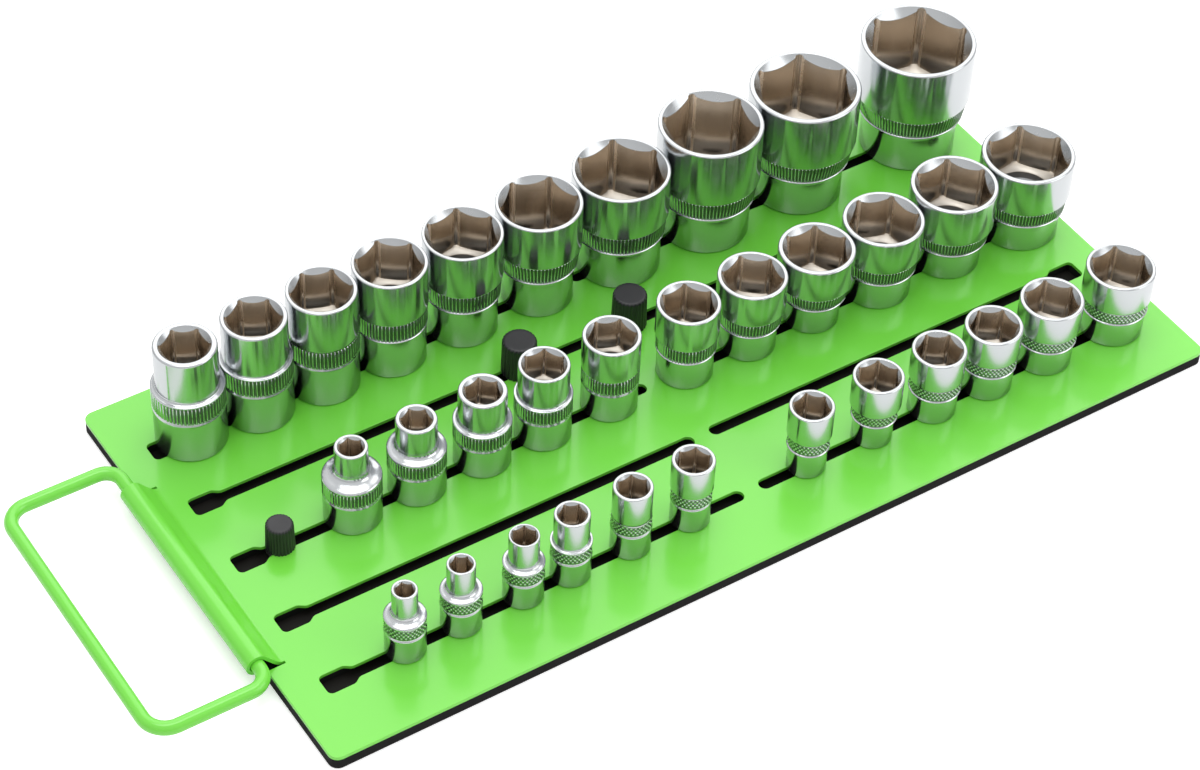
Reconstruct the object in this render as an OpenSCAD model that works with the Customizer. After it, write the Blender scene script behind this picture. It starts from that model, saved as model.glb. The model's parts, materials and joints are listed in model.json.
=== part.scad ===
// Magnetic socket tray: a slotted steel plate on a pad, with sockets standing on
// posts that slide and lock in its slots, and a wire handle that swings at one end.
// X runs along the slots with the handle at -X, the row of smallest sockets is at -Y, and Z is up.
// The origin is on the floor, under the middle of the whole part.

/* [Plate] */
// Length of the plate along the slots
plate_l = 302; // [290:1:400]
// Depth of the plate across the slots
plate_w = 149; // [142:1:200]
// Thickness of the steel plate
plate_t = 1.2; // [0.8:0.1:2]
// Corner radius of the plate, the pad and the magnetic sheet
corner_r = 3; // [1:0.5:8]
// Thickness of the pad under the plate
pad_t = 2.7; // [2.5:0.1:5]
// Thickness of the magnetic sheet under the pad
magnet_t = 0.6; // [0.4:0.1:1.5]
// Distance between neighbouring rows of slots
row_pitch = 25.4; // [24:0.1:28]

/* [Slots] */
// Distance from the end of the plate to the wide end of a slot
slot_margin = 10.3; // [8:0.1:14]
// Width of a slot where the necks of the posts run
slot_w = 4.1; // [3.9:0.1:5]
// Width of the wide end, where a foot goes in
key_w = 7.1; // [6.9:0.1:9]
// Length of the wide end
key_l = 7.6; // [7:0.1:10]
// Corner radius of the wide end
key_r = 1.6; // [0.5:0.1:2.5]
// Length over which the slot narrows
taper_l = 2.9; // [1.5:0.1:5]
// Steel left between the two slots of a row
bridge_l = 5.8; // [4:0.1:7]

/* [Posts] */
// Diameter of a post for half-inch drive
half_post_d = 11; // [9:0.1:11.6]
// Height of a post for half-inch drive
half_post_h = 12.2; // [9:0.1:15]
// Diameter of a post for three-eighth drive
three_eighth_post_d = 8.6; // [7:0.1:8.8]
// Height of a post for three-eighth drive
three_eighth_post_h = 9.3; // [7:0.1:11]
// Diameter of a post for quarter-inch drive
quarter_post_d = 5.7; // [5.2:0.1:5.9]
// Height of a post for quarter-inch drive
quarter_post_h = 7.5; // [5.5:0.1:8]
// Ribs round a post
post_ribs = 26; // [16:1:36]
// Height of the ribs on a post
rib_h = 0.3; // [0.15:0.05:0.5]
// Chamfer round the top of a post
post_chamfer = 0.6; // [0.3:0.1:1]
// Width and length of a foot under the plate
foot_w = 6.6; // [5.6:0.1:6.8]
// Thickness of a foot
foot_t = 2.2; // [1.5:0.1:2.4]
// Diameter of the stud on a foot
stud_d = 3.7; // [3:0.1:3.8]
// Height of the stud above the plate
stud_h = 4; // [2:0.5:5]
// Clearance round the stud in its post
stud_clear = 0.05; // [0.02:0.01:0.1]
// Clearance on each side of a foot in the pad
channel_clear = 0.5; // [0.3:0.1:0.8]

/* [Half-inch sockets] */
// Square drive of the row
half_drive = 12.7; // [12.6:0.05:13]
// Outer diameter of the smallest socket
half_outer_d = 18.7; // [18.4:0.1:19]
// Drive-end diameter of the smallest socket
half_base_d = 21.6; // [21:0.1:21.7]
// Height of the smallest socket
half_h = 37.2; // [34:0.1:40]
// Depth of the drive hole
half_drive_depth = 14.5; // [13:0.1:15.2]
// Bottom of the knurled band
half_band_z = 15; // [13:0.1:18]
// Height of the knurled band
half_band_h = 6.6; // [4:0.1:8]

/* [Three-eighth sockets] */
// Square drive of the row
three_eighth_drive = 9.525; // [9.4:0.025:9.8]
// Outer diameter of the smallest socket
three_eighth_outer_d = 9.7; // [9.5:0.1:10]
// Drive-end diameter of the smallest socket
three_eighth_base_d = 17.3; // [16.8:0.1:17.6]
// Height of the smallest socket
three_eighth_h = 27.7; // [26:0.1:30]
// Depth of the drive hole
three_eighth_drive_depth = 10.3; // [9.8:0.1:11]
// Bottom of the knurled band
three_eighth_band_z = 11; // [9:0.1:13]
// Height of the knurled band
three_eighth_band_h = 5; // [3:0.1:6]

/* [Quarter-inch sockets] */
// Square drive of the row
quarter_drive = 6.35; // [6.3:0.05:6.6]
// Outer diameter of the smallest socket
quarter_outer_d = 7.3; // [7.1:0.1:7.6]
// Drive-end diameter of the smallest socket
quarter_base_d = 12; // [11.6:0.1:12.4]
// Height of the smallest socket
quarter_h = 24.5; // [22:0.1:27]
// Depth of the drive hole
quarter_drive_depth = 8.6; // [8.2:0.1:9.6]
// Bottom of the knurled band
quarter_band_z = 9.6; // [8:0.1:11]
// Height of the knurled band
quarter_band_h = 4.2; // [3:0.1:5]

/* [Socket details] */
// Clearance on each side between a drive hole and its nominal square
drive_clear = 0.1; // [0.05:0.01:0.15]
// Chamfer at the foot of a socket
base_chamfer = 0.5; // [0.2:0.1:0.8]
// Depth and half width of the groove beside the knurled band
band_groove = 0.3; // [0.1:0.05:0.4]
// Least gap between neighbours on a row
least_gap = 0.4; // [0.3:0.1:1]

/* [Handle] */
// Diameter of the handle wire
wire_d = 4.2; // [3:0.1:4.6]
// Distance between the middles of the two arms
handle_w = 92.9; // [88:0.1:110]
// Distance from the hinge to the middle of the grip bar
handle_reach = 34.65; // [25:0.05:38]
// Bend radius of the wire beside the hinge
hinge_bend_r = 5.5; // [5:0.1:6]
// Bend radius of the wire at the grip bar
grip_bend_r = 7; // [5:0.1:12]
// How far the handle has slid towards +Y in its sleeve
handle_slid = 1.8; // [-2:0.1:2]
// Distance of the hinge outside the end of the plate
hinge_out = 2.5; // [2.4:0.1:3]
// Height of the hinge above the plate
hinge_up = 2.9; // [2.8:0.1:3.4]
// Clearance between the wire and its rolled sleeve
wire_clear = 0.1; // [0.02:0.01:0.1]
// Length of the rolled sleeve
sleeve_l = 75; // [40:1:78]
// Distance from the end of the plate to where the sleeve starts to rise
sleeve_root = 5.6; // [5.4:0.1:6.4]
// Bend radius of the sheet where the sleeve starts to rise
root_bend_r = 3.2; // [2.6:0.1:3.4]
// Width of the slit beside each end of the sleeve
slit_w = 0.8; // [0.5:0.1:1.5]

/* [Hidden] */
// Overrun of a cut past the face it opens
overrun = 1;
// How far the sleeve's sheet runs on inside the plate, so that they are one piece
sleeve_grip = 1;
// Angle, from +X through +Z, at which the rolled sleeve's sheet ends
roll_end = 300;
// Angle by which a bend of the sheet runs on into the straight rise, so that they are one piece
seam_angle = 2;

// Places of the middles along the plate, from its handle end
half_place_shares = [0.0785, 0.1513, 0.2242, 0.2993, 0.3815, 0.4692, 0.5659, 0.6732, 0.7901, 0.9348];
bare_half_place_shares = [0.396, 0.5252];
three_eighth_place_shares =
    [0.0828, 0.1603, 0.2301, 0.3023, 0.3705, 0.447, 0.5358, 0.6113, 0.6887, 0.7705, 0.8586, 0.9536];
quarter_place_shares =
    [0.1189, 0.1775, 0.244, 0.2954, 0.3616, 0.4288, 0.5636, 0.6417, 0.7146, 0.7811, 0.8533, 0.9404];
// Diameters and heights, as shares of the smallest socket of the row
half_outer_shares = [1, 1.048, 1.128, 1.214, 1.305, 1.422, 1.615, 1.743, 1.866, 1.957];
half_base_shares = [1, 1, 1, 1, 1, 1.028, 1.231, 1.301, 1.329, 1.426];
half_height_shares = [1, 1, 1, 1, 1, 1, 1, 1.113, 1.1, 1.11];
three_eighth_outer_shares = [1, 1.237, 1.474, 1.567, 1.794, 1.979, 2.175, 2.412, 2.577, 2.784, 3];
three_eighth_base_shares = [1, 1, 1, 1, 1, 1.012, 1.012, 1.012, 1.225, 1.249, 1.457];
three_eighth_height_shares = [1, 1, 1, 1, 1, 1, 1, 1, 1.01, 1.08, 1.078];
quarter_outer_shares = [1, 1.11, 1.192, 1.411, 1.575, 1.726, 1.822, 2.082, 2.233, 2.384, 2.63, 2.89];
quarter_base_shares = [1, 1, 1, 1, 1, 1, 1, 1.033, 1.233, 1.333, 1.45, 1.633];
quarter_height_shares = [1, 1, 1, 1, 1, 0.99, 1, 1, 0.99, 0.98, 0.98, 1];
// Widths across the flats, as shares of the row's drive: an eighth of the half-inch drive is a sixteenth
half_hex_shares = [1, 9/8, 10/8, 11/8, 12/8, 13/8, 15/8, 2, 17/8, 18/8];
three_eighth_hex_shares = [4/6, 5/6, 1, 7/6, 8/6, 9/6, 10/6, 11/6, 2, 13/6, 14/6];
quarter_hex_shares = [6/8, 7/8, 1, 9/8, 10/8, 11/8, 12/8, 14/8, 15/8, 2, 18/8, 20/8];
// How each socket is turned on its post, as shares of a hexagon's sixth of a turn
half_turn_shares = [0.56, 0.53, 0.67, 0.37, 0.16, 0.71, 0.14, 0.34, 0.03, 0.83];
three_eighth_turn_shares = [0.25, 0.45, 0.2, 0.97, 0.64, 0.09, 0.33, 0.97, 0.67, 0.07, 0.07];
quarter_turn_shares = [0.28, 0.47, 0.98, 0.53, 0.07, 0.83, 0.22, 0.93, 0.47, 0.52, 0.12, 0.05];
// Depths of the hexagons, as shares of the sockets' heights
half_depth_shares = [0.39, 0.39, 0.39, 0.4, 0.4, 0.56, 0.55, 0.56, 0.55, 0.56];
three_eighth_depth_shares = [0.38, 0.38, 0.38, 0.38, 0.4, 0.53, 0.52, 0.56, 0.56, 0.51, 0.49];
quarter_depth_shares = [0.42, 0.42, 0.42, 0.43, 0.43, 0.44, 0.46, 0.47, 0.5, 0.51, 0.54, 0.57];
// Round passage between the hexagon and the drive hole, as a share of the drive
passage_share = 0.5;
// Mouth's lead-in: how much of the wall beside a corner of the hexagon it takes
lead_share = 0.15;
// Chamfer round the outside of the mouth, as a share of the same wall
rim_share = 0.35;
// Rise of the shoulder above the band, and of the neck below it, as shares of the step that they cross
shoulder_share = 0.75;
neck_share = 0.6;

// Rows, from the front: quarter-inch, empty, three-eighth, bare half-inch posts, half-inch
row_numbers = [-2, -1, 0, 1, 2];
quarter_y = -2 * row_pitch;
three_eighth_y = 0;
bare_half_y = row_pitch;
half_y = 2 * row_pitch;

wire_r = wire_d / 2;
handle_out = hinge_out + handle_reach + wire_r;
left_x = (handle_out - plate_l) / 2;
middle_x = left_x + plate_l / 2;
pad_z = magnet_t;
plate_z = pad_z + pad_t;
top_z = plate_z + plate_t;
slot_end = (plate_l - bridge_l) / 2;
channel_w = foot_w + 2 * channel_clear;

// The sleeve's sheet, along its middle surface: a bend up, a straight rise and a roll round the wire
roll_r = wire_r + wire_clear + plate_t / 2;
rise_run = sleeve_root + hinge_out;
rise_drop = root_bend_r - hinge_up - plate_t / 2;
rise_angle = asin((roll_r + root_bend_r) / norm([rise_run, rise_drop])) - atan2(rise_drop, rise_run);
rise_l = (rise_run - sin(rise_angle) * (roll_r + root_bend_r)) / cos(rise_angle);

function scaled(shares, size) = [for (s = shares) s * size];
// A post can't stand on the bridge between two slots, nor closer to its neighbour than the least gap
first_right = (plate_l + bridge_l + foot_w) / 2;
last_left = slot_end - foot_w / 2;
function seat(x) = x > last_left ? max(x, first_right) : x;
function spread(places, radii, i = 0, found = []) =
    i == len(places) ? found : spread(places, radii, i + 1, concat(found, [seat(
        i == 0 ? places[0] : max(places[i], found[i - 1] + radii[i - 1] + radii[i] + least_gap))]));

half_outer = scaled(half_outer_shares, half_outer_d);
half_base = scaled(half_base_shares, half_base_d);
half_radii = [for (i = [0 : len(half_outer) - 1]) max(half_outer[i], half_base[i]) / 2];
half_x = spread(scaled(half_place_shares, plate_l), half_radii);
bare_half_x = spread(scaled(bare_half_place_shares, plate_l), [half_post_d / 2, half_post_d / 2]);
three_eighth_outer = scaled(three_eighth_outer_shares, three_eighth_outer_d);
three_eighth_base = scaled(three_eighth_base_shares, three_eighth_base_d);
three_eighth_radii = concat([three_eighth_post_d / 2],
    [for (i = [0 : len(three_eighth_outer) - 1]) max(three_eighth_outer[i], three_eighth_base[i]) / 2]);
three_eighth_all_x = spread(scaled(three_eighth_place_shares, plate_l), three_eighth_radii);
three_eighth_x = [for (i = [1 : len(three_eighth_all_x) - 1]) three_eighth_all_x[i]];
quarter_outer = scaled(quarter_outer_shares, quarter_outer_d);
quarter_base = scaled(quarter_base_shares, quarter_base_d);
quarter_radii = [for (i = [0 : len(quarter_outer) - 1]) max(quarter_outer[i], quarter_base[i]) / 2];
quarter_x = spread(scaled(quarter_place_shares, plate_l), quarter_radii);

$fn = 64;

module rounded_sheet(l, w, r) {
    translate([r, -w / 2]) square([l - 2 * r, w]);
    translate([0, r - w / 2]) square([l, w - 2 * r]);
    for (x = [r, l - r], y = [r - w / 2, w / 2 - r]) translate([x, y]) circle(r);
}

// One slot, from the end of the plate to the bridge
module slot_outline() {
    key_end = slot_margin + key_l;
    for (y = [key_r - key_w / 2, key_w / 2 - key_r]) translate([slot_margin + key_r, y]) circle(key_r);
    translate([slot_margin, key_r - key_w / 2]) square([key_l, key_w - 2 * key_r]);
    translate([slot_margin + key_r, -key_w / 2]) square([key_l - key_r, key_w]);
    polygon([[key_end, -key_w / 2], [key_end + taper_l, -slot_w / 2],
        [key_end + taper_l, slot_w / 2], [key_end, key_w / 2]]);
    translate([key_end + taper_l / 2, -slot_w / 2])
        square([slot_end - key_end - (taper_l + slot_w) / 2, slot_w]);
    translate([slot_end - slot_w / 2, 0]) circle(slot_w / 2);
}

module channel_outline() {
    translate([slot_margin, -channel_w / 2]) square([slot_end - slot_margin, channel_w]);
}

// Its children, at both ends of every row
module each_slot() {
    for (row = row_numbers) translate([0, row * row_pitch]) {
        children();
        translate([plate_l, 0]) mirror([1, 0]) children();
    }
}

// Part of a flat ring between two angles
module ring_part(r, from_angle, to_angle) {
    reach = 2 * (r + plate_t);
    intersection() {
        difference() {
            circle(r + plate_t / 2);
            circle(r - plate_t / 2);
        }
        polygon(concat([[0, 0]], [for (i = [0 : 8])
            let(a = from_angle + (to_angle - from_angle) * i / 8) [reach * cos(a), reach * sin(a)]]));
    }
}

module sleeve_outline() {
    translate([sleeve_root, -plate_t]) square([sleeve_grip, plate_t]);
    translate([sleeve_root, root_bend_r - plate_t / 2])
        ring_part(root_bend_r, 270 - rise_angle - seam_angle, 270);
    translate([sleeve_root - root_bend_r * sin(rise_angle),
        root_bend_r * (1 - cos(rise_angle)) - plate_t / 2])
        rotate(180 - rise_angle) translate([0, -plate_t / 2]) square([rise_l, plate_t]);
    translate([-hinge_out, hinge_up]) ring_part(roll_r, 90 - rise_angle - seam_angle, roll_end);
}

module plate() color([0.47, 0.9, 0.35]) {
    translate([left_x, 0, plate_z]) linear_extrude(plate_t) difference() {
        rounded_sheet(plate_l, plate_w, corner_r);
        each_slot() slot_outline();
        translate([-overrun, -sleeve_l / 2 - slit_w]) square([sleeve_root + overrun, sleeve_l + 2 * slit_w]);
    }
    translate([left_x, 0, top_z]) rotate([90, 0, 0])
        linear_extrude(sleeve_l, center = true) sleeve_outline();
}

module pad() color([0.08, 0.08, 0.08])
    translate([left_x, 0, pad_z]) linear_extrude(pad_t) difference() {
        rounded_sheet(plate_l, plate_w, corner_r);
        each_slot() channel_outline();
    }

module magnetic_sheet() color([0.42, 0.36, 0.3])
    translate([left_x, 0, 0]) linear_extrude(magnet_t) rounded_sheet(plate_l, plate_w, corner_r);

// A quarter bend of the wire that starts along +Y and turns to -X
module wire_bend(r) {
    translate([-r, 0, 0]) rotate_extrude(angle = 90) translate([r, 0]) circle(wire_r);
}

module wire_run(l) {
    rotate([-90, 0, 0]) cylinder(h = l, r = wire_r);
}

module handle() color([0.47, 0.9, 0.35]) {
    arm_l = handle_reach - hinge_bend_r - grip_bend_r;
    hinge_run = handle_w - 2 * hinge_bend_r;
    grip_run = handle_w - 2 * grip_bend_r;
    translate([left_x - hinge_out, handle_slid, top_z + hinge_up]) {
        translate([0, -hinge_run / 2, 0]) wire_run(hinge_run);
        translate([-handle_reach, -grip_run / 2, 0]) wire_run(grip_run);
        for (side = [0, 1]) mirror([0, side, 0]) {
            translate([0, hinge_run / 2, 0]) wire_bend(hinge_bend_r);
            translate([-hinge_bend_r, handle_w / 2, 0]) rotate([0, 0, 90]) wire_run(arm_l);
            translate([-handle_reach, grip_run / 2, 0]) mirror([1, 0, 0]) wire_bend(grip_bend_r);
        }
    }
}

// A ribbed post that stands on the plate, hollow below for the stud of its foot
module post(d, h) color([0.07, 0.07, 0.08])
    difference() {
        union() {
            linear_extrude(h - post_chamfer) polygon([for (i = [0 : 2 * post_ribs - 1])
                let(r = d / 2 - (i % 2) * rib_h, a = 180 * i / post_ribs) [r * cos(a), r * sin(a)]]);
            translate([0, 0, h - post_chamfer])
                cylinder(h = post_chamfer, r1 = d / 2 - 2 * rib_h, r2 = d / 2 - 2 * rib_h - post_chamfer);
        }
        translate([0, 0, -overrun]) cylinder(h = stud_h + stud_clear + overrun, d = stud_d + 2 * stud_clear);
    }

// A foot under the plate, with the stud that runs up through the slot into the post
module foot() color([0.75, 0.75, 0.77]) {
    translate([-foot_w / 2, -foot_w / 2, plate_z - foot_t]) cube([foot_w, foot_w, foot_t]);
    translate([0, 0, plate_z]) cylinder(h = plate_t + stud_h, d = stud_d);
}

module post_group(places, y, d, h) {
    for (x = places) translate([left_x + x, y, top_z]) post(d, h);
}

module foot_group(places, y) {
    for (x = places) translate([left_x + x, y, 0]) foot();
}

// A socket: a turned body with a square drive hole below and a hexagon with a lead-in above
module socket(outer, base, h, drive, drive_depth, band_z, band_h, hex, depth_share, turn_share) {
    outer_r = outer / 2;
    base_r = base / 2;
    step = base_r - outer_r;
    rise = step * shoulder_share;
    band_top = band_z + band_h;
    corner_at = hex / sqrt(3);
    wall = outer_r - corner_at;
    mouth_r = corner_at + lead_share * wall;
    rim = rim_share * wall;
    square_w = drive + 2 * drive_clear;
    lead_r = hex / 2 - drive_clear;
    color([0.8, 0.81, 0.83]) rotate(60 * turn_share) difference() {
        rotate_extrude() polygon(concat(
            [[0, 0], [base_r - base_chamfer, 0], [base_r, base_chamfer]],
            step > 0
                ? [[base_r, band_z - band_groove], [base_r - band_groove, band_z],
                    [base_r, band_z + band_groove], [base_r, band_top],
                    [base_r - step / 3, band_top + rise / 6],
                    [outer_r + step / 6, band_top + rise * 4 / 5], [outer_r, band_top + rise * 5 / 4]]
                : [[base_r, band_z + step * neck_share], [outer_r, band_z],
                    [outer_r, band_top - band_groove], [outer_r - band_groove, band_top],
                    [outer_r, band_top + band_groove]],
            [[outer_r, h - rim], [outer_r - rim, h], [0, h]]));
        translate([-square_w / 2, -square_w / 2, -overrun])
            cube([square_w, square_w, drive_depth + overrun]);
        cylinder(h = h, d = drive * passage_share);
        translate([0, 0, h * (1 - depth_share)])
            cylinder(h = h * depth_share + overrun, r = corner_at, $fn = 6);
        translate([0, 0, h - mouth_r + lead_r])
            cylinder(h = mouth_r - lead_r + overrun, r1 = lead_r, r2 = mouth_r + overrun);
    }
}

module half_socket(i)
    translate([left_x + half_x[i], half_y, top_z])
        socket(half_outer[i], half_base[i], half_h * half_height_shares[i], half_drive,
            half_drive_depth, half_band_z, half_band_h, half_drive * half_hex_shares[i],
            half_depth_shares[i], half_turn_shares[i]);

module three_eighth_socket(i)
    translate([left_x + three_eighth_x[i], three_eighth_y, top_z])
        socket(three_eighth_outer[i], three_eighth_base[i], three_eighth_h * three_eighth_height_shares[i],
            three_eighth_drive, three_eighth_drive_depth, three_eighth_band_z, three_eighth_band_h,
            three_eighth_drive * three_eighth_hex_shares[i], three_eighth_depth_shares[i],
            three_eighth_turn_shares[i]);

module quarter_socket(i)
    translate([left_x + quarter_x[i], quarter_y, top_z])
        socket(quarter_outer[i], quarter_base[i], quarter_h * quarter_height_shares[i],
            quarter_drive, quarter_drive_depth, quarter_band_z, quarter_band_h,
            quarter_drive * quarter_hex_shares[i], quarter_depth_shares[i], quarter_turn_shares[i]);

module half_posts() post_group(half_x, half_y, half_post_d, half_post_h);
module half_feet() foot_group(half_x, half_y);
module three_eighth_posts()
    post_group(three_eighth_x, three_eighth_y, three_eighth_post_d, three_eighth_post_h);
module three_eighth_feet() foot_group(three_eighth_x, three_eighth_y);
module quarter_posts() post_group(quarter_x, quarter_y, quarter_post_d, quarter_post_h);
module quarter_feet() foot_group(quarter_x, quarter_y);
module bare_half_post_1() post_group([bare_half_x[0]], bare_half_y, half_post_d, half_post_h);
module bare_half_foot_1() foot_group([bare_half_x[0]], bare_half_y);
module bare_half_post_2() post_group([bare_half_x[1]], bare_half_y, half_post_d, half_post_h);
module bare_half_foot_2() foot_group([bare_half_x[1]], bare_half_y);
module bare_three_eighth_post()
    post_group([three_eighth_all_x[0]], three_eighth_y, three_eighth_post_d, three_eighth_post_h);
module bare_three_eighth_foot() foot_group([three_eighth_all_x[0]], three_eighth_y);
module half_socket_1() half_socket(0);
module half_socket_2() half_socket(1);
module half_socket_3() half_socket(2);
module half_socket_4() half_socket(3);
module half_socket_5() half_socket(4);
module half_socket_6() half_socket(5);
module half_socket_7() half_socket(6);
module half_socket_8() half_socket(7);
module half_socket_9() half_socket(8);
module half_socket_10() half_socket(9);
module three_eighth_socket_1() three_eighth_socket(0);
module three_eighth_socket_2() three_eighth_socket(1);
module three_eighth_socket_3() three_eighth_socket(2);
module three_eighth_socket_4() three_eighth_socket(3);
module three_eighth_socket_5() three_eighth_socket(4);
module three_eighth_socket_6() three_eighth_socket(5);
module three_eighth_socket_7() three_eighth_socket(6);
module three_eighth_socket_8() three_eighth_socket(7);
module three_eighth_socket_9() three_eighth_socket(8);
module three_eighth_socket_10() three_eighth_socket(9);
module three_eighth_socket_11() three_eighth_socket(10);
module quarter_socket_1() quarter_socket(0);
module quarter_socket_2() quarter_socket(1);
module quarter_socket_3() quarter_socket(2);
module quarter_socket_4() quarter_socket(3);
module quarter_socket_5() quarter_socket(4);
module quarter_socket_6() quarter_socket(5);
module quarter_socket_7() quarter_socket(6);
module quarter_socket_8() quarter_socket(7);
module quarter_socket_9() quarter_socket(8);
module quarter_socket_10() quarter_socket(9);
module quarter_socket_11() quarter_socket(10);
module quarter_socket_12() quarter_socket(11);

plate();
pad();
magnetic_sheet();
handle();
half_posts();
half_feet();
three_eighth_posts();
three_eighth_feet();
quarter_posts();
quarter_feet();
bare_half_post_1();
bare_half_foot_1();
bare_half_post_2();
bare_half_foot_2();
bare_three_eighth_post();
bare_three_eighth_foot();
half_socket_1();
half_socket_2();
half_socket_3();
half_socket_4();
half_socket_5();
half_socket_6();
half_socket_7();
half_socket_8();
half_socket_9();
half_socket_10();
three_eighth_socket_1();
three_eighth_socket_2();
three_eighth_socket_3();
three_eighth_socket_4();
three_eighth_socket_5();
three_eighth_socket_6();
three_eighth_socket_7();
three_eighth_socket_8();
three_eighth_socket_9();
three_eighth_socket_10();
three_eighth_socket_11();
quarter_socket_1();
quarter_socket_2();
quarter_socket_3();
quarter_socket_4();
quarter_socket_5();
quarter_socket_6();
quarter_socket_7();
quarter_socket_8();
quarter_socket_9();
quarter_socket_10();
quarter_socket_11();
quarter_socket_12();
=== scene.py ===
"""Looks of the magnetic socket tray, laid out as an add-on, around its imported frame."""

import json
import math

import bmesh
import bpy
from bpy.props import FloatProperty, FloatVectorProperty, IntProperty, PointerProperty
from mathutils import Matrix, Vector
from mathutils.geometry import delaunay_2d_cdt


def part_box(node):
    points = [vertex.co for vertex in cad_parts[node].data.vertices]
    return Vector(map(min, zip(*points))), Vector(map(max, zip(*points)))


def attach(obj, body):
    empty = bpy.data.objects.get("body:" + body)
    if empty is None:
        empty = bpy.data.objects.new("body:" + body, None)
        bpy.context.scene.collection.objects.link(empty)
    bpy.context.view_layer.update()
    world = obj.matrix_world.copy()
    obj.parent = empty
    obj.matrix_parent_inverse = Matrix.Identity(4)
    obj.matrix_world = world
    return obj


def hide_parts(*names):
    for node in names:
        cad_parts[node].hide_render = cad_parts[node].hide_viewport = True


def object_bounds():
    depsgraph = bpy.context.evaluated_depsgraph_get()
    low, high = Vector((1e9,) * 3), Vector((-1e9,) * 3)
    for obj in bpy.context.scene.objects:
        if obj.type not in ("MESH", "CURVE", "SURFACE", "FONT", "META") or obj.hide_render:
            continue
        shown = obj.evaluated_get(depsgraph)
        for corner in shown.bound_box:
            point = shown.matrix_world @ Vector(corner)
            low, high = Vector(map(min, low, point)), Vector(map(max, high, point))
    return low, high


bl_info = {
    "name": "Socket tray dressing",
    "version": (1, 0, 0),
    "blender": (4, 5, 0),
    "location": "3D View > Sidebar > Tray",
    "description": "Builds the plate, the handle, the sockets, the posts and the studio of a socket tray",
    "category": "Object",
}

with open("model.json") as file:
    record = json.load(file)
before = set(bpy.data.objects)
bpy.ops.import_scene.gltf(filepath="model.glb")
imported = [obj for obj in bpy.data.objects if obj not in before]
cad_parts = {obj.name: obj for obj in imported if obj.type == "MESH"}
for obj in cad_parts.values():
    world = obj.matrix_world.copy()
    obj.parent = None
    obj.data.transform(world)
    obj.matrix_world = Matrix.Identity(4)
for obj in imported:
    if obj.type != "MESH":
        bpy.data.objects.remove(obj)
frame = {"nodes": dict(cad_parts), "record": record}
cad_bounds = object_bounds()

MM = 0.001
TRAY = "tray"
PAD_LOW, PAD_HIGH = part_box("pad")
POST_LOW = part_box("bare_half_post_1")[0]
# The pad has the flat plate's outline, and the bare posts stand on the plate's top
LEFT, RIGHT = PAD_LOW[0], PAD_HIGH[0]
FRONT, BACK = PAD_LOW[1], PAD_HIGH[1]
TOP = POST_LOW[2]

# Sockets of a Mix node, which go by number: first for colours, then for plain values
COLOUR_A, COLOUR_B, COLOUR_OUT = 6, 7, 2
VALUE_A, VALUE_B, VALUE_OUT = 2, 3, 0

# Each row, in millimetres: drive square, drive hole's depth, band's foot and height,
# pitch of its knurl, and whether the knurl is crossed
ROWS = {
    "half": dict(
        drive=12.7, drive_depth=14.5, band_z=15.0, band_h=6.4, pitch=1.12, crossed=False),
    "three_eighth": dict(
        drive=9.525, drive_depth=10.3, band_z=11.0, band_h=5.0, pitch=1.02, crossed=False),
    "quarter": dict(
        drive=6.35, drive_depth=8.6, band_z=9.7, band_h=4.1, pitch=1.3, crossed=True),
}
# Each socket: outer and drive-end diameter in millimetres, hexagon as a share of the drive,
# hexagon's depth as a share of the height, and how far the hexagon turns towards its next corner
SOCKETS = {
    "half": [
        (18.7, 21.6, 8 / 8, 0.39, 0.56), (19.6, 21.6, 9 / 8, 0.39, 0.53), (21.1, 21.6, 10 / 8, 0.39, 0.67),
        (22.7, 21.6, 11 / 8, 0.4, 0.37), (24.4, 21.6, 12 / 8, 0.4, 0.16), (26.6, 22.2, 13 / 8, 0.56, 0.71),
        (30.2, 26.6, 15 / 8, 0.55, 0.14), (32.6, 28.1, 16 / 8, 0.56, 0.34), (34.9, 28.7, 17 / 8, 0.55, 0.03),
        (36.6, 30.8, 18 / 8, 0.56, 0.83),
    ],
    "three_eighth": [
        (9.7, 17.3, 4 / 6, 0.38, 0.25), (12.0, 17.3, 5 / 6, 0.38, 0.45), (14.3, 17.3, 6 / 6, 0.38, 0.2),
        (15.2, 17.3, 7 / 6, 0.38, 0.97), (17.4, 17.3, 8 / 6, 0.4, 0.64), (19.2, 17.5, 9 / 6, 0.53, 0.09),
        (21.1, 17.5, 10 / 6, 0.52, 0.33), (23.4, 17.5, 11 / 6, 0.56, 0.97), (25.0, 21.2, 12 / 6, 0.56, 0.67),
        (27.0, 21.6, 13 / 6, 0.51, 0.07), (29.1, 25.2, 14 / 6, 0.49, 0.07),
    ],
    "quarter": [
        (7.3, 12.0, 6 / 8, 0.42, 0.28), (8.1, 12.0, 7 / 8, 0.42, 0.47), (8.7, 12.0, 8 / 8, 0.42, 0.98),
        (10.3, 12.0, 9 / 8, 0.43, 0.53), (11.5, 12.0, 10 / 8, 0.43, 0.07), (12.6, 12.0, 11 / 8, 0.44, 0.83),
        (13.3, 12.0, 12 / 8, 0.46, 0.22), (15.2, 12.4, 14 / 8, 0.47, 0.93), (16.3, 14.8, 15 / 8, 0.5, 0.47),
        (17.4, 16.0, 16 / 8, 0.51, 0.52), (19.2, 17.4, 18 / 8, 0.54, 0.12), (21.1, 19.6, 20 / 8, 0.57, 0.05),
    ],
}


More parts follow.
